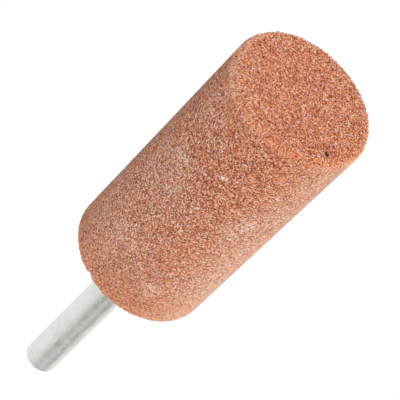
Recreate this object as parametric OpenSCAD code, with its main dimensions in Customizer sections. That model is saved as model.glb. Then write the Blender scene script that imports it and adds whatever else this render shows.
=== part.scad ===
// Mounted point: a cylindrical bonded-abrasive head cemented onto the knurled tang of a steel shank.
// The axis is +Z and the origin is the centre of the head's free end face, so the point stands on that
// face with its shank upright. Lengths are in millimetres.

/* [Abrasive head] */
// Diameter of the abrasive head
head_d = 25; // [16:0.5:40]
// Length of the abrasive head
head_len = 50; // [40:1:80]
// Radius rubbed onto the rim at each end of the head
rim_r = 1.2; // [0.6:0.1:3]

/* [Shank] */
// Diameter of the plain shank that a collet grips
shank_d = 6; // [5:0.1:8]
// Length of plain shank that stands out of the head
shank_len = 36; // [20:1:60]
// Chamfer round the shank's free end
tip_chamfer = 0.6; // [0.2:0.1:1.5]

/* [Tang] */
// Length of the knurled tang inside the head
tang_len = 30; // [18:1:40]
// Step down from the shank to the crests of the knurl
tang_step = 0.1; // [0.05:0.05:0.4]
// Number of knurl ridges round the tang
knurl_count = 24; // [14:1:36]
// Depth of the knurl from crest to root
knurl_depth = 0.4; // [0.2:0.05:0.7]
// Number of ring grooves that key the cement lengthwise
groove_count = 4; // [1:1:6]
// Width of a ring groove
groove_w = 1.6; // [0.8:0.1:2.4]
// Depth of a ring groove below the knurl crests
groove_depth = 0.7; // [0.3:0.05:1.2]
// Chamfer at the tang's inner end
tang_chamfer = 0.8; // [0.4:0.1:1.5]

/* [Cement] */
// Gap between the shank's diameter and the socket wall, filled with cement
cement_gap = 0.5; // [0.3:0.05:1.2]
// Thickness of the cement under the tang's end
cement_floor = 1; // [0.5:0.1:3]
// Chamfer of the socket's mouth, filled flush with cement
mouth_chamfer = 0.6; // [0.2:0.1:1.5]

/* [Chip in the rear rim] */
// Radius of the scoop that the chip leaves
chip_r = 0.9; // [0.6:0.1:2]
// Depth of the scoop below the rim
chip_depth = 0.45; // [0.2:0.05:0.6]
// Place of the chip round the axis, in degrees
chip_angle = -71; // [-180:1:180]

/* [Hidden] */
head_r = head_d / 2;
shank_r = shank_d / 2;
crest_r = shank_r - tang_step;
root_r = crest_r - knurl_depth;
groove_r = crest_r - groove_depth;
groove_pitch = tang_len / (groove_count + 1);
socket_r = shank_r + cement_gap;
socket_len = tang_len + cement_floor;
chip_offset = rim_r + chip_r - chip_depth;
overshoot = 0.5;
$fn = 96;

// Turned blank with both rims rounded: a revolved rectangle with two corner discs
module head_blank() {
    rotate_extrude() {
        square([head_r - rim_r, head_len]);
        translate([0, rim_r])
            square([head_r, head_len - 2 * rim_r]);
        for (z = [rim_r, head_len - rim_r])
            intersection() {
                translate([head_r - rim_r, z])
                    circle(r = rim_r);
                translate([0, z - rim_r])
                    square([head_r, 2 * rim_r]);
            }
    }
}

// Blind socket moulded in the rear of the head, chamfered at its mouth
module socket(past_mouth = 0) {
    translate([0, 0, head_len - socket_len])
        cylinder(r = socket_r, h = socket_len + past_mouth);
    translate([0, 0, head_len - mouth_chamfer])
        cylinder(r1 = socket_r, r2 = socket_r + mouth_chamfer, h = mouth_chamfer);
}

// Scoop knocked out of the rear rim, square to the rounded edge
module rim_chip() {
    rotate([0, 0, chip_angle])
        translate([head_r - rim_r, 0, head_len - rim_r])
            rotate([0, 45, 0])
                translate([0, 0, chip_offset])
                    sphere(r = chip_r);
}

// Outline of the straight knurl: one crest and one root for each ridge
function knurl_outline() = [
    for (i = [0 : 2 * knurl_count - 1])
        let (r = i % 2 == 0 ? crest_r : root_r, a = 180 * i / knurl_count)
            [r * cos(a), r * sin(a)]
];

// Ring cut out of the knurl, as wide as the groove
module ring_groove() {
    difference() {
        cylinder(r = shank_r + overshoot, h = groove_w, center = true);
        cylinder(r = groove_r, h = groove_w + overshoot, center = true);
    }
}

// Knurled tang from its chamfered inner end up to the head's rear face
module tang(past_mouth = 0) {
    translate([0, 0, head_len - tang_len])
        difference() {
            intersection() {
                linear_extrude(height = tang_len + past_mouth)
                    polygon(knurl_outline());
                cylinder(r1 = crest_r - tang_chamfer, r2 = crest_r - tang_chamfer + tang_len + past_mouth,
                         h = tang_len + past_mouth);
            }
            for (i = [1 : groove_count])
                translate([0, 0, i * groove_pitch])
                    ring_groove();
        }
}

// Bonded-abrasive cylinder with its socket and the chip in its rear rim
module abrasive_head() {
    color("#b97a62")
        difference() {
            head_blank();
            socket(past_mouth = overshoot);
            rim_chip();
        }
}

// Turned steel shank: plain grip, chamfered tip and knurled tang in one piece
module shank() {
    color("#c9cecd") {
        translate([0, 0, head_len])
            cylinder(r = shank_r, h = shank_len - tip_chamfer);
        translate([0, 0, head_len + shank_len - tip_chamfer])
            cylinder(r1 = shank_r, r2 = shank_r - tip_chamfer, h = tip_chamfer);
        tang();
    }
}

// Cement that fills the socket round and under the tang, flush with the head's rear face
module bond_cement() {
    color("#a89c8c")
        difference() {
            socket();
            tang(past_mouth = overshoot);
        }
}

abrasive_head();
shank();
bond_cement();
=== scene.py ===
import math
from types import SimpleNamespace

import bpy
from bpy.props import FloatProperty, FloatVectorProperty, PointerProperty
from mathutils import Matrix, Vector


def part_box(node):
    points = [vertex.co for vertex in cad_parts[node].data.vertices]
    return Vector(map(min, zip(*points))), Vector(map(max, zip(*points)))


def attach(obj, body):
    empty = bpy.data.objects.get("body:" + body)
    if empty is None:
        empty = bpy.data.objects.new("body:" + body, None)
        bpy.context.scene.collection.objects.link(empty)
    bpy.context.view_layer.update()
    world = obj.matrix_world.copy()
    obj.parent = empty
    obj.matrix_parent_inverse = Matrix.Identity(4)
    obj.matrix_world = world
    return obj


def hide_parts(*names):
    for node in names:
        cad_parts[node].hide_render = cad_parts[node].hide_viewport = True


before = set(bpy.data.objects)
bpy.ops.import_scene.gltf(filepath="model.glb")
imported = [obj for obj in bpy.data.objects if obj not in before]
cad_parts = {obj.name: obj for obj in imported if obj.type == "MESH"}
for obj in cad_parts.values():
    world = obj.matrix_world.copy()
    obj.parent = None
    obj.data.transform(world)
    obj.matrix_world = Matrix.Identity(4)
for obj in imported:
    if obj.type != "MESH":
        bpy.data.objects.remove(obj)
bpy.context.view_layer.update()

bl_info = {
    "name": "Mounted Point",
    "version": (1, 0, 0),
    "blender": (4, 5, 0),
    "location": "3D View > Sidebar > Mounted Point",
    "description": "Bonded-abrasive grinding point on a steel shank, with a small studio round it",
    "category": "Add Mesh",
}

MM = 0.001
NEAR = 0.01 * MM
BODY = "root"

head_low, head_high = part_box("abrasive_head")
cement_low, cement_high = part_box("bond_cement")
HEAD_R = (head_high.x - head_low.x) / 2
HEAD_LEN = head_high.z - head_low.z
MOUTH_R = (cement_high.x - cement_low.x) / 2
SOCKET_FLOOR = cement_low.z


# Settings


class HeadSettings(bpy.types.PropertyGroup):
    """Form and colours of the abrasive head"""

    rim_radius: FloatProperty(
        name="Rim radius", description="Rounding of both rims", default=1.0 * MM, unit="LENGTH")
    mouth_chamfer: FloatProperty(
        name="Mouth chamfer", description="Chamfer of the socket's mouth", default=0.6 * MM, unit="LENGTH")
    facet_size: FloatProperty(
        name="Facet size", description="Width of one facet of the grainy skin", default=0.27 * MM,
        unit="LENGTH")
    grain_size: FloatProperty(
        name="Grain size", description="Usual width of one abrasive grain", default=0.19 * MM, unit="LENGTH")
    relief: FloatProperty(
        name="Relief", description="Depth of the gaps between the grains", default=0.05 * MM, unit="LENGTH")
    rim_loss: FloatProperty(
        name="Rim loss", description="Depth to which grains have broken from the rims", default=0.6 * MM,
        unit="LENGTH")
    rear_wear: FloatProperty(
        name="Rear wear", description="Loss at the rear rim, as a share of that at the free one",
        default=0.65, min=0.0, max=1.0, subtype="FACTOR")
    chip_width: FloatProperty(
        name="Chip width", description="Width of the chip along the rear rim", default=1.2 * MM,
        unit="LENGTH")
    chip_length: FloatProperty(
        name="Chip length", description="Length of the chip across the rim", default=2.2 * MM, unit="LENGTH")
    chip_depth: FloatProperty(
        name="Chip depth", description="Depth of the chip below the rim", default=0.52 * MM, unit="LENGTH")
    chip_angle: FloatProperty(
        name="Chip angle", description="Place of the chip round the axis", default=math.radians(-70.5),
        subtype="ANGLE")
    pit_place: FloatVectorProperty(
        name="Pit", description="Place of the lost grain in the free face",
        default=(-8.55 * MM, -5.78 * MM, 0.0), subtype="XYZ", unit="LENGTH")
    pit_radius: FloatProperty(
        name="Pit radius", description="Size of the lost grain in the free face", default=0.42 * MM,
        unit="LENGTH")
    pore_spacing: FloatProperty(
        name="Pore spacing", description="Usual distance between the pores", default=0.42 * MM, unit="LENGTH")
    # Painted shade inside the pores
    pore: FloatVectorProperty(
        name="Pore", description="Colour inside the pores", default=(0.085, 0.016, 0.006), subtype="COLOR")
    dark_grain: FloatVectorProperty(
        name="Dark grain", description="Colour of the darkest grains", default=(0.17, 0.030, 0.013),
        subtype="COLOR")
    red_grain: FloatVectorProperty(
        name="Red grain", description="Colour of the red-brown grains", default=(0.405, 0.099, 0.048),
        subtype="COLOR")
    mid_grain: FloatVectorProperty(
        name="Middle grain", description="Colour of most grains", default=(0.585, 0.211, 0.119),
        subtype="COLOR")
    pale_grain: FloatVectorProperty(
        name="Pale grain", description="Colour of the pale grains", default=(0.765, 0.460, 0.333),
        subtype="COLOR")
    white_grain: FloatVectorProperty(
        name="White grain", description="Colour of the whitest grains", default=(0.88, 0.79, 0.72),
        subtype="COLOR")
    orange_grain: FloatVectorProperty(
        name="Orange grain", description="Colour of the few orange grains", default=(0.80, 0.36, 0.13),
        subtype="COLOR")
    worn_grain: FloatVectorProperty(
        name="Worn grain", description="Colour of the freshly broken grain at the rims",
        default=(0.86, 0.42, 0.22), subtype="COLOR")
    # The lit side. Pale powder lies there with painted sheen over it, and the zones of the head are measured
    # towards it
    dust_and_sheen_angle: FloatProperty(
        name="Dusty angle", description="Middle of the dusty stripe along the side",
        default=math.radians(180), subtype="ANGLE")
    # Colour of pale powder at the rear, which also paints sheen on the lit side
    dust_and_sheen: FloatVectorProperty(
        name="Dust", description="Colour of the pale dust smeared on the side", default=(0.91, 0.79, 0.62),
        subtype="COLOR")


class ShankSettings(bpy.types.PropertyGroup):
    """Finish of the steel shank and its cement"""

    steel: FloatVectorProperty(
        name="Steel", description="Colour of the bright drawn steel", default=(0.775, 0.80, 0.81),
        subtype="COLOR")
    tarnish: FloatVectorProperty(
        name="Tarnish", description="Colour of the duller patches", default=(0.71, 0.73, 0.72),
        subtype="COLOR")
    roughness: FloatProperty(
        name="Roughness", description="Roughness of the drawn steel", default=0.26, min=0.0, max=1.0,
        subtype="FACTOR")
    cement: FloatVectorProperty(
        name="Cement", description="Colour of the mounting cement", default=(0.58, 0.50, 0.41),
        subtype="COLOR")


class StageSettings(bpy.types.PropertyGroup):
    """Camera and light of the small studio"""

    lens: FloatProperty(
        name="Lens", description="Focal length on a 36 mm sensor, in millimetres", default=197.95,
        unit="CAMERA")
    aim: FloatVectorProperty(
        name="Aim", description="Point that the camera looks at", default=(-0.02 * MM, 0.0, 30.77 * MM),
        subtype="XYZ", unit="LENGTH")
    distance: FloatProperty(
        name="Distance", description="Distance from the camera to that point", default=357.4 * MM,
        unit="LENGTH")
    elevation: FloatProperty(
        name="Elevation", description="Height of the camera above the horizon", default=math.radians(-42.965),
        subtype="ANGLE")
    roll: FloatProperty(
        name="Roll", description="Turn of the camera about its line of sight", default=math.radians(134.69),
        subtype="ANGLE")
    ambient: FloatProperty(
        name="Ambient", description="Strength of the even light from all round", default=0.39,
        min=0.0, max=1.0, subtype="FACTOR")
    floor_colour: FloatVectorProperty(
        name="Floor", description="Colour of the floor", default=(0.55, 0.55, 0.545), subtype="COLOR")
    floor_glow: FloatProperty(
        name="Floor glow", description="Share of white that the floor shows by itself", default=0.41,
        min=0.0, max=1.0, subtype="FACTOR")


# Modelling helpers


def deselect():
    """Deselect every object, so that an operator acts on the next piece alone."""
    bpy.ops.object.select_all(action="DESELECT")


def take(piece):
    """Make a piece the only selected and active one."""
    deselect()
    piece.select_set(True)
    bpy.context.view_layer.objects.active = piece


def added(name):
    """The object that a primitive operator has just added, named, with its place moved into its mesh."""
    piece = bpy.context.active_object
    piece.name = name
    piece.data.name = name
    bpy.ops.object.transform_apply(location=True, rotation=True, scale=True)
    return piece


def enter_edit():
    """Go into edit mode."""
    bpy.ops.object.mode_set(mode="EDIT")


def leave_edit():
    """Go back to object mode."""
    bpy.ops.object.mode_set(mode="OBJECT")


def clear_selection(piece, kind):
    """Set edit mode to select points or edges, and deselect the whole mesh of a piece."""
    take(piece)
    enter_edit()
    bpy.ops.mesh.select_mode(type=kind)
    bpy.ops.mesh.select_all(action="DESELECT")
    leave_edit()


def select_points(piece, test):
    """Enter edit mode with only the points selected that pass a test."""
    clear_selection(piece, "VERT")
    for point in piece.data.vertices:
        point.select = test(point.co)
    enter_edit()


def select_edges(piece, test):
    """Enter edit mode with only the edges selected whose two ends pass a test."""
    clear_selection(piece, "EDGE")
    points = piece.data.vertices
    for edge in piece.data.edges:
        edge.select = all(test(points[i].co) for i in edge.vertices)
    enter_edit()


def apply_modifier(piece, kind, **values):
    """Add a modifier to a piece, set it and apply it."""
    take(piece)
    modifier = piece.modifiers.new(kind.title(), kind)
    for name, value in values.items():
        setattr(modifier, name, value)
    bpy.ops.object.modifier_apply(modifier=modifier.name)


def cut_away(piece, cutter):
    """Subtract a cutter from a piece and delete it."""
    apply_modifier(piece, "BOOLEAN", operation="DIFFERENCE", solver="MANIFOLD", object=cutter)
    bpy.data.objects.remove(cutter)


def weight_group(piece, name, weight):
    """A vertex group in which each point has the weight that a function of its place gives."""
    group = piece.vertex_groups.new(name=name)
    for point in piece.data.vertices:
        value = weight(point.co)
        if value > 0:
            group.add([point.index], value, "REPLACE")
    return name


def smooth_step(value, low, high):
    """0 below low, 1 above high, with a smooth rise between."""
    t = min(max((value - low) / (high - low), 0.0), 1.0)
    return t * t * (3 - 2 * t)


# Material helpers

# Sockets of the Mix node that hold colours
MIX_FIRST = 6
MIX_SECOND = 7
MIX_RESULT = 2


def new_material(name):
    """An empty node material, and a function that adds a node to it and returns the node."""
    material = bpy.data.materials.new(name)
    material.use_nodes = True
    tree = material.node_tree
    tree.nodes.clear()

    def node(kind, inputs=None, **values):
        made = tree.nodes.new(kind)
        for key, value in values.items():
            setattr(made, key, value)
        for key, value in (inputs or {}).items():
            if isinstance(value, bpy.types.NodeSocket):
                tree.links.new(value, made.inputs[key])
            else:
                made.inputs[key].default_value = value
        return made

    return material, node


def math_node(node, operation, first, second=0.0, clamp=False):
    """The result of one step of arithmetic."""
    return node("ShaderNodeMath", {0: first, 1: second}, operation=operation, use_clamp=clamp).outputs[0]


def total(node, first, *others):
    """All the values added up."""
    for other in others:
        first = math_node(node, "ADD", first, other)
    return first


def product(node, first, *others):
    """All the values multiplied."""
    for other in others:
        first = math_node(node, "MULTIPLY", first, other)
    return first


def distance_to(node, place, point):
    """The distance from a fixed point."""
    return node("ShaderNodeVectorMath", {0: place, 1: point}, operation="DISTANCE").outputs["Value"]


def noise(node, place, scale, detail, roughness):
    """The value of a noise texture."""
    made = node(
        "ShaderNodeTexNoise", {"Vector": place, "Scale": scale, "Detail": detail, "Roughness": roughness})
    return made.outputs["Fac"]


def squeezed(node, place, along_axis):
    """A place with its height scaled, so that a texture is drawn out along the axis."""
    return node("ShaderNodeMapping", {"Vector": place, "Scale": (1.0, 1.0, along_axis)}).outputs["Vector"]


def ramp_between(node, value, low, high, to_low=0.0, to_high=1.0):
    """A value stretched smoothly from one range to another."""
    made = node(
        "ShaderNodeMapRange",
        {"Value": value, "From Min": low, "From Max": high, "To Min": to_low, "To Max": to_high},
        interpolation_type="SMOOTHSTEP")
    return made.outputs["Result"]


def mix_colour(node, share, first, second, blend="MIX"):
    """Two colours mixed by a share."""
    made = node("ShaderNodeMix", {"Factor": share}, data_type="RGBA", blend_type=blend)
    tree = made.id_data
    for socket, value in ((made.inputs[MIX_FIRST], first), (made.inputs[MIX_SECOND], second)):
        if isinstance(value, bpy.types.NodeSocket):
            tree.links.new(value, socket)
        else:
            socket.default_value = (*value, 1.0)
    return made.outputs[MIX_RESULT]


def tinted(node, colour, tint, share=1.0):
    """A colour multiplied by a tint, in full or by a share."""
    return mix_colour(node, share, colour, tint, "MULTIPLY")


def colour_ramp(node, value, stops):
    """A value turned into a colour by stops of place and colour."""
    made = node("ShaderNodeValToRGB", {"Fac": value})
    elements = made.color_ramp.elements
    while len(elements) < len(stops):
        elements.new(0.5)
    for element, (place, colour) in zip(elements, stops):
        element.position = place
        element.color = (*colour, 1.0)
    return made.outputs["Color"]


# Material of the head

# Tints that multiply the colour of a grain: by grain, by patch, and on the free rim
MAUVE_TINT = (1.0, 0.84, 1.0)
NO_TINT = (1.0, 1.0, 1.0)
AMBER_TINT = (1.0, 1.0, 0.60)
COOL_TINT = (0.94, 1.01, 1.11)
SANDY_TINT = (1.05, 0.99, 0.89)
WARM_TINT = (1.0, 0.85, 0.75)
RUDDY_TINT = (1.13, 0.98, 0.93)

# Shades of the marks, where the two clay shades are painted light on the shaded side, and the painted shade
# of the pit
CHALK = (0.93, 0.83, 0.73)
SOOT = (0.13, 0.09, 0.08)
DULL_GREY = (0.36, 0.27, 0.24)
PAINTED_LIGHT_CLAY = (0.86, 0.43, 0.29)
PAINTED_RIM_LIGHT_CLAY = (0.95, 0.43, 0.24)
PIT_PAINTED_SHADE = (0.05, 0.012, 0.005)

# Marks on the side: angle round the axis in degrees, height and reach in millimetres, strength, shade
SIDE_MARKS = (
    (-58.0, 40.0, 11.0, 0.08, CHALK),
    (-58.0, 22.0, 9.0, 0.12, CHALK),
    (-54.0, 8.0, 7.0, 0.10, CHALK),
    (-46.0, 45.5, 2.4, 0.4, DULL_GREY),
    # Painted light: a paler patch low on the shaded side, and a lit band along the free rim towards the
    # shaded edge
    (-50.0, 2.5, 7.0, 0.24, PAINTED_LIGHT_CLAY),
    (-38.0, 0.5, 3.0, 0.3, PAINTED_RIM_LIGHT_CLAY),
    (-26.0, 0.6, 3.0, 0.5, PAINTED_RIM_LIGHT_CLAY),
    (-12.0, 0.6, 2.8, 0.6, PAINTED_RIM_LIGHT_CLAY),
    (-50.0, 17.8, 1.1, 0.3, CHALK),
    (-55.0, 17.3, 1.2, 0.35, CHALK),
    (-59.5, 16.9, 1.0, 0.55, CHALK),
    (-63.5, 16.7, 0.9, 0.35, CHALK),
    (-92.6, 12.3, 0.55, 1.0, CHALK),
    (-90.5, 12.6, 0.60, 1.0, CHALK),
    (-88.5, 12.9, 0.50, 1.0, CHALK),
    (-123.0, 21.5, 2.6, 0.28, CHALK),
    (-129.0, 19.0, 2.8, 0.33, CHALK),
    (-111.5, 41.5, 3.0, 0.33, CHALK),
    (-84.5, 25.2, 0.6, 0.8, SOOT),
)

# Share of a mark's reach within which it is at full strength
MARK_CORE = 0.2

# The ramps below give a low and a high value, and what comes of each, which is 0 and 1 where it isn't given.
# By distance from the axis, from the waist and from the free face
ON_SIDE = (HEAD_R - 0.9 * MM, HEAD_R - 0.1 * MM)
ON_RIM = (HEAD_R - 1.4 * MM, HEAD_R - 0.5 * MM)
ON_END = (HEAD_LEN / 2 - 2.2 * MM, HEAD_LEN / 2 - 1.3 * MM)
FORWARD = (0.0, HEAD_LEN / 2, 1.0, 0.0)
REARWARD = (0.1 * HEAD_LEN, HEAD_LEN)
FREE_CONTRAST = (2 * MM, 18 * MM, 0.08, 0.28)
REAR_CONTRAST = (36 * MM, 48 * MM, 0.0, -0.46)

# By distance from the axis towards the lit side; below 0 it lies towards the shaded side
SHADED_CONTRAST = (-10 * MM, 2 * MM, 0.14, -0.06)
# Paler free rim: partly worn grain, partly painted light, strongest on the shaded side
RIM_WEAR_AND_PAINTED_LIGHT = (-13 * MM, 14 * MM, 0.28, 0.02)
SHADED_SIDE_PAINTED_LIGHT = (-11.5 * MM, -7.5 * MM, 0.10, 0.0)
RUDDY_TO_WARM = (-11 * MM, -7 * MM)
PORE_FILLING = (-5 * MM, 8 * MM)
# A stripe along the lit side: partly pale powder, partly painted sheen where the light grazes it
DUST_AND_SHEEN_STRIPE = (5 * MM, 15 * MM, 0.0, 0.48)

# By the value of a texture, or by a number that each grain or pore draws
NOISE_RANGE = (0.3, 0.7)
FINE_RANGE = (0.25, 0.75)
BROAD_TONE = (*NOISE_RANGE, -0.155, -0.105)
GRAIN_EDGE = (0.0, 0.12, 0.1, 1.0)
GRAIN_ROUGHNESS = (*NOISE_RANGE, 0.65, 0.85)
ORANGE_DRAW = (0.88, 0.96, 0.0, 0.6)
POWDER_DRAW = (0.2, 0.8)
PORE_DRAW = (0.45, 0.75)
PORE_EDGE = (0.24, 0.42, 1.0, 0.0)
PORES_LEFT = (0.0, 1.0, 1.0, 0.3)

# Shares of a grain's own tone and of the variation within it, and the tone round which contrast turns
OWN_TONE = 0.94
FINE_TONE = 0.30
MIDDLE_TONE = 0.5

# Scales of the noises: within a grain, of the tone over wide areas, and of the patches of tint
FINE_MARKS_PER_GRAIN = 2.0
BROAD_SCALE = 300.0
PATCH_SCALE = 800.0

# Strength of the fresh grain on the rims, of the pale powder at the rear and of the painted shade in the pit,
# whose dark edge is given in shares of its radius, and the depth of the bumps
WORN_SHARE = 0.12
REAR_DUST = 0.10
PIT_DARKNESS = 0.95
PIT_DARK_INNER = 0.8
PIT_DARK_OUTER = 1.3
GRAIN_BUMP = 0.08 * MM


def head_zones(node, place, s):
    """Where a point lies on the head, as distances and as shares."""
    height = node("ShaderNodeSeparateXYZ", {"Vector": place}).outputs["Z"]
    across = node("ShaderNodeVectorMath", {0: place, 1: (1.0, 1.0, 0.0)}, operation="MULTIPLY")
    radius = node("ShaderNodeVectorMath", {0: across.outputs[0]}, operation="LENGTH").outputs["Value"]
    # Direction of the lit side
    dust_and_sheen_side = (math.cos(s.dust_and_sheen_angle), math.sin(s.dust_and_sheen_angle), 0.0)
    facing = node("ShaderNodeVectorMath", {0: place, 1: dust_and_sheen_side}, operation="DOT_PRODUCT")
    off_waist = math_node(node, "ABSOLUTE", math_node(node, "SUBTRACT", height, HEAD_LEN / 2))
    worn = product(node, ramp_between(node, radius, *ON_RIM), ramp_between(node, off_waist, *ON_END))
    return SimpleNamespace(
        height=height,
        facing=facing.outputs["Value"],
        on_side=ramp_between(node, radius, *ON_SIDE),
        rearward=ramp_between(node, height, *REARWARD),
        worn=worn,
        fresh=product(node, worn, ramp_between(node, height, *FORWARD)))


def grain_tone(node, place, zones, own, fine, s):
    """Tone of each grain from dark to pale, near the middle in the gaps and paler on the free rim, from wear
    and from painted light that grows towards the shaded side.
    """
    tone = total(
        node, product(node, own, OWN_TONE),
        product(node, ramp_between(node, fine, *FINE_RANGE), FINE_TONE))
    broad = noise(node, place, BROAD_SCALE, detail=3.0, roughness=0.55)
    # Paleness of the free rim: worn grain, with painted light added towards the shaded side
    wear_and_painted_light = total(
        node, ramp_between(node, zones.facing, *RIM_WEAR_AND_PAINTED_LIGHT),
        ramp_between(node, zones.facing, *SHADED_SIDE_PAINTED_LIGHT))
    shift = total(node, ramp_between(node, broad, *BROAD_TONE), product(node, zones.fresh, wear_and_painted_light))
    off_middle = math_node(node, "SUBTRACT", total(node, tone, shift), MIDDLE_TONE)
    gaps = node(
        "ShaderNodeTexVoronoi", {"Vector": place, "Scale": 1 / s.grain_size}, feature="DISTANCE_TO_EDGE")
    core = ramp_between(node, gaps.outputs["Distance"], *GRAIN_EDGE)
    contrast = total(
        node, ramp_between(node, zones.height, *FREE_CONTRAST),
        ramp_between(node, zones.height, *REAR_CONTRAST),
        ramp_between(node, zones.facing, *SHADED_CONTRAST))
    spread = product(node, core, total(node, product(node, zones.on_side, contrast), 1.0))
    return math_node(node, "ADD", product(node, off_middle, spread), MIDDLE_TONE, clamp=True)


def grain_colour(node, place, tone, draw, s):
    """Colour of each grain: its tone and its own hue, in patches of two tints, with a few orange grains."""
    colour = colour_ramp(node, tone, (
        (0.06, s.dark_grain),
        (0.28, s.red_grain),
        (0.52, s.mid_grain),
        (0.82, s.pale_grain),
        (1.0, s.white_grain)))
    hue = colour_ramp(node, draw, ((0.0, MAUVE_TINT), (0.45, NO_TINT), (1.0, AMBER_TINT)))
    colour = tinted(node, colour, hue)
    patch = noise(node, place, PATCH_SCALE, detail=2.0, roughness=0.5)
    patch_tint = mix_colour(node, ramp_between(node, patch, *NOISE_RANGE), COOL_TINT, SANDY_TINT)
    colour = tinted(node, colour, patch_tint)
    return mix_colour(node, ramp_between(node, draw, *ORANGE_DRAW), colour, s.orange_grain)


def open_pores(node, place, zones, colour, s):
    """A colour with painted shade in the pores, which pale powder has partly filled towards the rear of the
    lit side.
    """
    pore = node("ShaderNodeTexVoronoi", {"Vector": place, "Scale": 1 / s.pore_spacing}, feature="F1")
    draw = node("ShaderNodeSeparateColor", {"Color": pore.outputs["Color"]}).outputs["Red"]
    filled = product(
        node, zones.on_side, zones.rearward, ramp_between(node, zones.facing, *PORE_FILLING))
    # Painted shade in the pores, fewer where powder fills them
    share = product(
        node, ramp_between(node, pore.outputs["Distance"], *PORE_EDGE),
        ramp_between(node, draw, *PORE_DRAW), ramp_between(node, filled, *PORES_LEFT))
    return mix_colour(node, share, colour, s.pore)


def wear_rims(node, zones, colour, s):
    """A colour with freshly broken grain on both rims, and a warm or ruddy tint on the free one."""
    colour = mix_colour(node, product(node, zones.worn, WORN_SHARE), colour, s.worn_grain)
    tint = mix_colour(node, ramp_between(node, zones.facing, *RUDDY_TO_WARM), RUDDY_TINT, WARM_TINT)
    return tinted(node, colour, tint, zones.fresh)


def soil_side(node, place, zones, draw, colour, s):
    """A colour with pale powder at the rear and along the lit side, where it is partly painted sheen, and the
    marks of the side, some of them painted light; all lie on some grains more than on others.
    """
    powdered = product(node, zones.on_side, ramp_between(node, draw, *POWDER_DRAW))
    # Pale powder at the rear, and along the lit side a stripe that is partly powder and partly painted sheen
    dusted_and_sheened = total(
        node, ramp_between(node, zones.facing, *DUST_AND_SHEEN_STRIPE), product(node, zones.rearward, REAR_DUST))
    colour = mix_colour(node, product(node, dusted_and_sheened, powdered), colour, s.dust_and_sheen)
    for degrees, level, reach, strength, shade in SIDE_MARKS:
        angle = math.radians(degrees)
        centre = (HEAD_R * math.cos(angle), HEAD_R * math.sin(angle), level * MM)
        away = distance_to(node, place, centre)
        near = ramp_between(node, away, MARK_CORE * reach * MM, reach * MM, strength, 0.0)
        colour = mix_colour(node, product(node, near, powdered), colour, shade)
    return colour


def paint_pit_shade(node, place, colour, s):
    """A colour with painted shade in the pit of the lost grain in the free face."""
    away = distance_to(node, place, tuple(s.pit_place))
    share = ramp_between(
        node, away, s.pit_radius * PIT_DARK_INNER, s.pit_radius * PIT_DARK_OUTER, PIT_DARKNESS, 0.0)
    return mix_colour(node, share, colour, PIT_PAINTED_SHADE)


def abrasive_material(s):
    """Bonded grain: grains of many tones, with painted shade in the pores between them and in one pit, worn
    rims, pale powder that on the lit side is partly painted sheen, and marks, some of them painted light.
    """
    material, node = new_material("bonded_abrasive")
    place = node("ShaderNodeTexCoord").outputs["Object"]
    grain = node("ShaderNodeTexVoronoi", {"Vector": place, "Scale": 1 / s.grain_size}, feature="F1")
    draw = node("ShaderNodeSeparateColor", {"Color": grain.outputs["Color"]}).outputs
    fine = noise(node, place, FINE_MARKS_PER_GRAIN / s.grain_size, detail=2.0, roughness=0.6)
    zones = head_zones(node, place, s)
    tone = grain_tone(node, place, zones, draw["Red"], fine, s)
    colour = grain_colour(node, place, tone, draw["Green"], s)
    colour = open_pores(node, place, zones, colour, s)
    colour = wear_rims(node, zones, colour, s)
    colour = soil_side(node, place, zones, draw["Blue"], colour, s)
    colour = paint_pit_shade(node, place, colour, s)
    proud = math_node(node, "SUBTRACT", fine, grain.outputs["Distance"])
    bump = node("ShaderNodeBump", {"Height": proud, "Strength": 0.8, "Distance": GRAIN_BUMP})
    shader = node("ShaderNodeBsdfPrincipled", {
        "Base Color": colour,
        "Roughness": ramp_between(node, fine, *GRAIN_ROUGHNESS),
        "Normal": bump.outputs["Normal"],
        "Specular IOR Level": 0.04})
    node("ShaderNodeOutputMaterial", {"Surface": shader.outputs["BSDF"]})
    return material


# Materials of the shank and the cement

# Streaks, waves and dull patches of the steel
STREAK_SCALE = 4500.0
STREAK_SQUEEZE = 0.06
STREAK_RANGE = (0.35, 0.7)
STREAK_SHARE = 0.4
STREAK_DEPTH = 0.01 * MM
WAVE_SCALE = 700.0
WAVE_SQUEEZE = 0.45
WAVE_DEPTH = 0.14 * MM
DULL_SCALE = 420.0
DULL_RANGE = (0.42, 0.68)
DULL_SHARE = 0.6
DULL_ROUGHNESS = 0.16

# Sand and clouds in the cement
SAND_SCALE = 6000.0
CLOUD_SCALE = 900.0
CEMENT_SHARE = (*NOISE_RANGE, 0.0, 0.5)
CEMENT_DARKENING = 0.55
SAND_BUMP = 0.04 * MM


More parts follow.
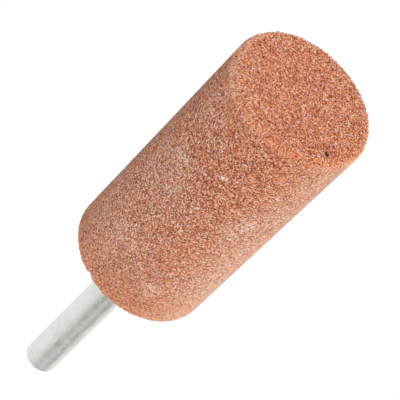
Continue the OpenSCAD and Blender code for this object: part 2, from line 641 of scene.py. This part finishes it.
def steel_material(s):
    """Bright drawn steel: slightly wavy, with faint streaks along its length and dull patches."""
    material, node = new_material("drawn_steel")
    place = node("ShaderNodeTexCoord").outputs["Object"]
    streaks = noise(node, squeezed(node, place, STREAK_SQUEEZE), STREAK_SCALE, detail=3.0, roughness=0.6)
    waves = noise(node, squeezed(node, place, WAVE_SQUEEZE), WAVE_SCALE, detail=2.0, roughness=0.5)
    patches = noise(node, place, DULL_SCALE, detail=4.0, roughness=0.6)
    dull = ramp_between(node, patches, *DULL_RANGE)
    streak = ramp_between(node, streaks, *STREAK_RANGE)
    mark = total(node, product(node, dull, DULL_SHARE), product(node, streak, STREAK_SHARE))
    wavy = node("ShaderNodeBump", {"Height": waves, "Strength": 1.0, "Distance": WAVE_DEPTH})
    bump = node("ShaderNodeBump", {
        "Height": streaks, "Strength": 0.15, "Distance": STREAK_DEPTH, "Normal": wavy.outputs["Normal"]})
    shader = node("ShaderNodeBsdfPrincipled", {
        "Base Color": mix_colour(node, mark, s.steel, s.tarnish),
        "Metallic": 1.0,
        "Roughness": total(node, product(node, dull, DULL_ROUGHNESS), s.roughness),
        "Normal": bump.outputs["Normal"]})
    node("ShaderNodeOutputMaterial", {"Surface": shader.outputs["BSDF"]})
    return material


def cement_material(s):
    """Set mounting cement: matt, slightly uneven, with fine sand in it."""
    material, node = new_material("mounting_cement")
    place = node("ShaderNodeTexCoord").outputs["Object"]
    sand = noise(node, place, SAND_SCALE, detail=3.0, roughness=0.6)
    cloud = noise(node, place, CLOUD_SCALE, detail=2.0, roughness=0.5)
    share = total(node, ramp_between(node, sand, *CEMENT_SHARE), ramp_between(node, cloud, *CEMENT_SHARE))
    darker = tuple(CEMENT_DARKENING * c for c in s.cement)
    bump = node("ShaderNodeBump", {"Height": sand, "Strength": 0.6, "Distance": SAND_BUMP})
    shader = node("ShaderNodeBsdfPrincipled", {
        "Base Color": mix_colour(node, share, darker, s.cement),
        "Roughness": 0.85,
        "Normal": bump.outputs["Normal"]})
    node("ShaderNodeOutputMaterial", {"Surface": shader.outputs["BSDF"]})
    return material


# Pieces

HEAD_SIDES = 160
RIM_SEGMENTS = 8
SOCKET_SIDES = 96
SMOOTH_ANGLE = math.radians(60)

# Width over which the loss of grain fades in at the rims, width of a lost grain, and the level it starts from
RIM_FADE = 0.5 * MM
LOST_WIDTH = 0.3 * MM
LOST_LEVEL = 0.30

# Width of a proud grain as a share of the grain size, depth of the pit, and its edge as shares of its radius
PROUD_WIDTH = 1.4
PIT_DEPTH = 0.3 * MM
PIT_INNER = 0.4
PIT_OUTER = 1.2


def turned_blank(s):
    """The plain head: a cylinder with both rims rounded."""
    deselect()
    bpy.ops.mesh.primitive_cylinder_add(
        vertices=HEAD_SIDES, radius=HEAD_R, depth=HEAD_LEN, location=(0, 0, HEAD_LEN / 2))
    head = added("grain_head")
    for level in (0.0, HEAD_LEN):
        select_edges(head, lambda p, z=level: abs(p.z - z) < NEAR)
        bpy.ops.mesh.bevel(offset=s.rim_radius, segments=RIM_SEGMENTS, profile=0.5, affect="EDGES")
        leave_edit()
    return head


def chip_cutter(s):
    """A smooth oval lump, long across the rim, that breaks the chip out of the rear rim."""
    out = Vector((math.cos(s.chip_angle), math.sin(s.chip_angle), 1.0)).normalized()
    rim = Vector((math.cos(s.chip_angle), math.sin(s.chip_angle), 0.0)) * (HEAD_R - s.rim_radius)
    rim.z = HEAD_LEN - s.rim_radius
    deselect()
    bpy.ops.mesh.primitive_ico_sphere_add(
        subdivisions=4, radius=1.0, location=rim + out * s.rim_radius,
        rotation=out.to_track_quat("Z", "Y").to_euler(),
        scale=(s.chip_width / 2, s.chip_length / 2, s.chip_depth))
    return added("chip_cutter")


def socket_cutter(s):
    """The blind socket with its chamfered mouth, a little taller than the head's rear face."""
    radius = MOUTH_R - s.mouth_chamfer
    deselect()
    bpy.ops.mesh.primitive_cylinder_add(
        vertices=SOCKET_SIDES, radius=radius, depth=HEAD_LEN - SOCKET_FLOOR,
        location=(0, 0, (HEAD_LEN + SOCKET_FLOOR) / 2))
    cutter = added("socket_cutter")
    select_points(cutter, lambda p: p.z > HEAD_LEN - NEAR)
    bpy.ops.transform.translate(value=(0, 0, -s.mouth_chamfer))
    for wider_radius in (MOUTH_R, MOUTH_R + s.mouth_chamfer):
        bpy.ops.mesh.extrude_region_move(TRANSFORM_OT_translate={"value": (0, 0, s.mouth_chamfer)})
        wider = wider_radius / radius
        bpy.ops.transform.resize(value=(wider, wider, 1))
        radius = wider_radius
    leave_edit()
    return cutter


def relief_texture(name, kind, width, **values):
    """A procedural texture for displacement, with marks of the given width."""
    texture = bpy.data.textures.new(name, kind)
    texture.noise_scale = width
    for key, value in values.items():
        setattr(texture, key, value)
    return texture


def rim_share(point, s):
    """1 on the rounding of the free rim and less on the rear one, falling to 0 where the rounding ends."""
    outward = math.hypot(point.x, point.y) - (HEAD_R - s.rim_radius)
    endward = max(s.rim_radius - point.z, point.z - (HEAD_LEN - s.rim_radius))
    share = smooth_step(min(outward, endward), 0.0, RIM_FADE)
    return share if point.z < HEAD_LEN / 2 else share * s.rear_wear


def refine_rims(head, s):
    """Split the facets of the two rims, where single grains show in the outline."""
    select_points(head, lambda p: rim_share(p, s) > 0)
    bpy.ops.mesh.select_mode(type="FACE")
    bpy.ops.mesh.subdivide(number_cuts=1)
    leave_edit()


def roughen(head, s):
    """Give the head its grain: proud grains with gaps between them, broken rims, and the pit."""
    rims = weight_group(head, "rims", lambda p: rim_share(p, s))
    pit_at = Vector(s.pit_place)
    inner = s.pit_radius * PIT_INNER
    outer = s.pit_radius * PIT_OUTER
    pit = weight_group(head, "pit", lambda p: 1 - smooth_step((p - pit_at).length, inner, outer))
    grains = relief_texture("grains", "VORONOI", s.grain_size * PROUD_WIDTH, distance_metric="DISTANCE")
    lost = relief_texture("lost_grains", "CLOUDS", LOST_WIDTH, noise_depth=1)
    apply_modifier(
        head, "DISPLACE", texture=grains, texture_coords="LOCAL", direction="NORMAL", mid_level=0.0,
        strength=-s.relief)
    apply_modifier(
        head, "DISPLACE", texture=lost, texture_coords="LOCAL", direction="NORMAL", mid_level=LOST_LEVEL,
        strength=-s.rim_loss, vertex_group=rims)
    apply_modifier(
        head, "DISPLACE", direction="NORMAL", mid_level=0.0, strength=-PIT_DEPTH, vertex_group=pit)
    head.vertex_groups.clear()


class POINT_OT_head(bpy.types.Operator):
    """Model the bonded-abrasive head with its grain, rims, chip and socket"""

    bl_idname = "mounted_point.head"
    bl_label = "Abrasive Head"
    bl_options = {"REGISTER", "UNDO"}

    def execute(self, context):
        s = context.scene.point_head
        head = turned_blank(s)
        cut_away(head, chip_cutter(s))
        apply_modifier(head, "REMESH", mode="VOXEL", voxel_size=s.facet_size)
        refine_rims(head, s)
        roughen(head, s)
        cut_away(head, socket_cutter(s))
        take(head)
        bpy.ops.object.shade_smooth_by_angle(angle=SMOOTH_ANGLE)
        head.data.materials.clear()
        head.data.materials.append(abrasive_material(s))
        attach(head, BODY)
        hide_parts("abrasive_head")
        return {"FINISHED"}


class POINT_OT_shank(bpy.types.Operator):
    """Finish the steel shank and the ring of cement round it"""

    bl_idname = "mounted_point.shank"
    bl_label = "Shank and Cement"
    bl_options = {"REGISTER", "UNDO"}

    def execute(self, context):
        s = context.scene.point_shank
        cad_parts["shank"].material_slots[0].material = steel_material(s)
        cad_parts["bond_cement"].material_slots[0].material = cement_material(s)
        return {"FINISHED"}


# Stage

# Lamps: name, azimuth and elevation that the light comes from in degrees, and strength
LAMPS = (
    ("fill_lamp", -80, 10, 0.575),
    ("low_lamp", 165, -60, 0.875),
    ("key_lamp", 173, 10, 0.43),
    ("back_lamp", 84, 10, 0.48),
    ("top_lamp", 0, 90, 0.30),
)
LAMP_ANGLE = math.radians(40)
LAMP_DISTANCE = 0.5

FLOOR_SIZE = 3.0
FLOOR_DROP = 0.2 * MM

# Grey screen: its form, the azimuth of its middle in degrees, and its shades by degrees from there
SCREEN_SIDES = 96
SCREEN_RADIUS = 0.37
SCREEN_HEIGHT = 0.34
SCREEN_MIDDLE = 0.41
SCREEN_TURN = -140
SCREEN_SHADES = (
    (-90, 0.97), (-60, 0.88), (-26, 0.35), (0, 0.68), (34, 0.35), (58, 0.72), (92, 0.97))

# Share of blue in a shade of the screen: the first number in black, both together in white
SCREEN_BLUE = 0.70
SCREEN_BLUE_GAIN = 0.30

# Low cards: number, azimuth of the first and tilt in degrees, place, size, and shades from middle to edge.
# The card is one unit wide before it is scaled.
LOW_CARD_COUNT = 3
LOW_CARD_START = 20
LOW_CARD_TILT = -45
LOW_CARD_REACH = 0.075
LOW_CARD_LEVEL = 0.046
LOW_CARD_WIDTH = 0.12
LOW_CARD_LENGTH = 0.128
LOW_CARD_DARK = (0.38, 0.385, 0.39)
LOW_CARD_PALE = (0.92, 0.92, 0.92)
HALF_CARD = 0.5

CAMERA_AZIMUTH = -90
SENSOR_WIDTH = 36.0
CLIP_START = 0.01


def direction(azimuth, elevation):
    """Unit vector towards an azimuth and elevation in degrees."""
    a, e = math.radians(azimuth), math.radians(elevation)
    return Vector((math.cos(e) * math.cos(a), math.cos(e) * math.sin(a), math.sin(e)))


def add_lamp(name, azimuth, elevation, strength):
    """A distant soft lamp. A strength of 1 lights a surface that faces it at its own colour."""
    deselect()
    towards = direction(azimuth, elevation)
    bpy.ops.object.light_add(type="SUN", location=towards * LAMP_DISTANCE)
    lamp = bpy.context.active_object
    lamp.name = name
    lamp.rotation_euler = towards.to_track_quat("Z", "Y").to_euler()
    lamp.data.energy = strength * math.pi
    lamp.data.angle = LAMP_ANGLE
    lamp.visible_glossy = False


def add_world(s):
    """A white background for the camera and reflections, and an even ambient light."""
    world = bpy.data.worlds.new("studio")
    bpy.context.scene.world = world
    world.use_nodes = True
    tree = world.node_tree
    light = tree.nodes["Background"]
    light.inputs["Color"].default_value = (1, 1, 1, 1)
    path = tree.nodes.new("ShaderNodeLightPath")
    seen = path.outputs["Is Camera Ray"]
    for name in ("Is Glossy Ray", "Is Transmission Ray"):
        either = tree.nodes.new("ShaderNodeMath")
        either.operation = "MAXIMUM"
        tree.links.new(seen, either.inputs[0])
        tree.links.new(path.outputs[name], either.inputs[1])
        seen = either.outputs[0]
    strength = tree.nodes.new("ShaderNodeMapRange")
    strength.inputs["To Min"].default_value = s.ambient
    strength.inputs["To Max"].default_value = 1.0
    tree.links.new(seen, strength.inputs["Value"])
    tree.links.new(strength.outputs["Result"], light.inputs["Strength"])


def add_floor(s):
    """A pale floor that shows only from above, so that the free end face can be seen from below."""
    deselect()
    bpy.ops.mesh.primitive_plane_add(size=FLOOR_SIZE, location=(0, 0, -FLOOR_DROP))
    floor = added("studio_floor")
    material, node = new_material("floor_paper")
    matt = node("ShaderNodeBsdfDiffuse", {"Color": (*s.floor_colour, 1.0)})
    glow = node("ShaderNodeEmission", {"Strength": s.floor_glow})
    paper = node("ShaderNodeAddShader", {0: matt.outputs[0], 1: glow.outputs[0]})
    clear = node("ShaderNodeBsdfTransparent")
    side = node("ShaderNodeNewGeometry").outputs["Backfacing"]
    mixed = node("ShaderNodeMixShader", {0: side, 1: paper.outputs[0], 2: clear.outputs[0]})
    node("ShaderNodeOutputMaterial", {"Surface": mixed.outputs[0]})
    floor.data.materials.append(material)
    floor.visible_diffuse = False
    floor.visible_shadow = False


def show_in_reflections_only(card):
    """Let only reflections see a card."""
    card.visible_camera = False
    card.visible_diffuse = False
    card.visible_shadow = False


def add_grey_screen():
    """A curved grey screen above the shank's tip, whose shades the steel mirrors when seen from below."""
    deselect()
    bpy.ops.mesh.primitive_cylinder_add(
        vertices=SCREEN_SIDES, radius=SCREEN_RADIUS, depth=SCREEN_HEIGHT, end_fill_type="NOTHING",
        location=(0, 0, SCREEN_MIDDLE), rotation=(0, 0, math.radians(SCREEN_TURN)))
    screen = bpy.context.active_object
    screen.name = "grey_screen"
    material, node = new_material("screen_grey")
    place = node("ShaderNodeTexCoord").outputs["Object"]
    round_axis = node("ShaderNodeTexGradient", {"Vector": place}, gradient_type="RADIAL").outputs["Fac"]
    stops = []
    for turn, level in SCREEN_SHADES:
        blue = level * (SCREEN_BLUE + SCREEN_BLUE_GAIN * level)
        stops.append((0.5 + turn / 360, (level, level, blue)))
    glow = node("ShaderNodeEmission", {"Color": colour_ramp(node, round_axis, stops)})
    node("ShaderNodeOutputMaterial", {"Surface": glow.outputs[0]})
    screen.data.materials.append(material)
    show_in_reflections_only(screen)


def add_low_cards():
    """A ring of cards round the head, dark in the middle, that streak the steel when seen from above."""
    material, node = new_material("card_dark")
    place = node("ShaderNodeTexCoord").outputs["Object"]
    across = node("ShaderNodeSeparateXYZ", {"Vector": place}).outputs["X"]
    off_centre = math_node(node, "ABSOLUTE", across)
    share = ramp_between(node, off_centre, 0.0, HALF_CARD)
    colour = colour_ramp(node, share, ((0.0, LOW_CARD_DARK), (1.0, LOW_CARD_PALE)))
    glow = node("ShaderNodeEmission", {"Color": colour})
    node("ShaderNodeOutputMaterial", {"Surface": glow.outputs[0]})
    for i in range(LOW_CARD_COUNT):
        turn = LOW_CARD_START + 360 * i / LOW_CARD_COUNT
        deselect()
        bpy.ops.mesh.primitive_plane_add(
            size=1.0, location=direction(turn, 0) * LOW_CARD_REACH + Vector((0, 0, LOW_CARD_LEVEL)),
            rotation=direction(turn, LOW_CARD_TILT).to_track_quat("Z", "Y").to_euler())
        card = bpy.context.active_object
        card.name = f"low_card_{i + 1}"
        card.scale = (LOW_CARD_WIDTH, LOW_CARD_LENGTH, 1)
        card.data.materials.append(material)
        show_in_reflections_only(card)


def add_camera(s):
    """The camera at the photograph's viewing angle."""
    back = direction(CAMERA_AZIMUTH, math.degrees(s.elevation))
    deselect()
    bpy.ops.object.camera_add()
    camera = bpy.context.active_object
    camera.name = "view_camera"
    level = (-back).to_track_quat("-Z", "Y").to_matrix().to_4x4()
    place = Matrix.Translation(Vector(s.aim) + back * s.distance)
    camera.matrix_world = place @ level @ Matrix.Rotation(-s.roll, 4, "Z")
    camera.data.sensor_width = SENSOR_WIDTH
    camera.data.lens = s.lens
    camera.data.clip_start = CLIP_START
    bpy.context.scene.camera = camera


class POINT_OT_stage(bpy.types.Operator):
    """Set up the floor, light, background and camera"""

    bl_idname = "mounted_point.stage"
    bl_label = "Studio"
    bl_options = {"REGISTER", "UNDO"}

    def execute(self, context):
        s = context.scene.point_stage
        context.scene.view_settings.view_transform = "Standard"
        add_world(s)
        for lamp in LAMPS:
            add_lamp(*lamp)
        add_floor(s)
        add_grey_screen()
        add_low_cards()
        add_camera(s)
        return {"FINISHED"}


class POINT_PT_panel(bpy.types.Panel):
    """Lists the pieces of the mounted point and its studio"""

    bl_idname = "POINT_PT_panel"
    bl_label = "Mounted Point"
    bl_space_type = "VIEW_3D"
    bl_region_type = "UI"
    bl_category = "Mounted Point"

    def draw(self, context):
        scene = context.scene
        for operator, settings in (
                ("mounted_point.head", scene.point_head),
                ("mounted_point.shank", scene.point_shank),
                ("mounted_point.stage", scene.point_stage)):
            box = self.layout.box()
            box.operator(operator)
            for name in settings.__annotations__:
                box.prop(settings, name)


CLASSES = (
    HeadSettings, ShankSettings, StageSettings, POINT_OT_head, POINT_OT_shank, POINT_OT_stage, POINT_PT_panel)


def register():
    """Register the classes and hang the settings on the scene."""
    for cls in CLASSES:
        bpy.utils.register_class(cls)
    bpy.types.Scene.point_head = PointerProperty(type=HeadSettings)
    bpy.types.Scene.point_shank = PointerProperty(type=ShankSettings)
    bpy.types.Scene.point_stage = PointerProperty(type=StageSettings)


def unregister():
    """Take the settings off the scene and unregister the classes."""
    del bpy.types.Scene.point_stage
    del bpy.types.Scene.point_shank
    del bpy.types.Scene.point_head
    for cls in reversed(CLASSES):
        bpy.utils.unregister_class(cls)


def main():
    """Build the mounted point and its studio."""
    register()
    bpy.ops.mounted_point.stage()
    bpy.ops.mounted_point.head()
    bpy.ops.mounted_point.shank()


if __name__ == "__main__":
    main()
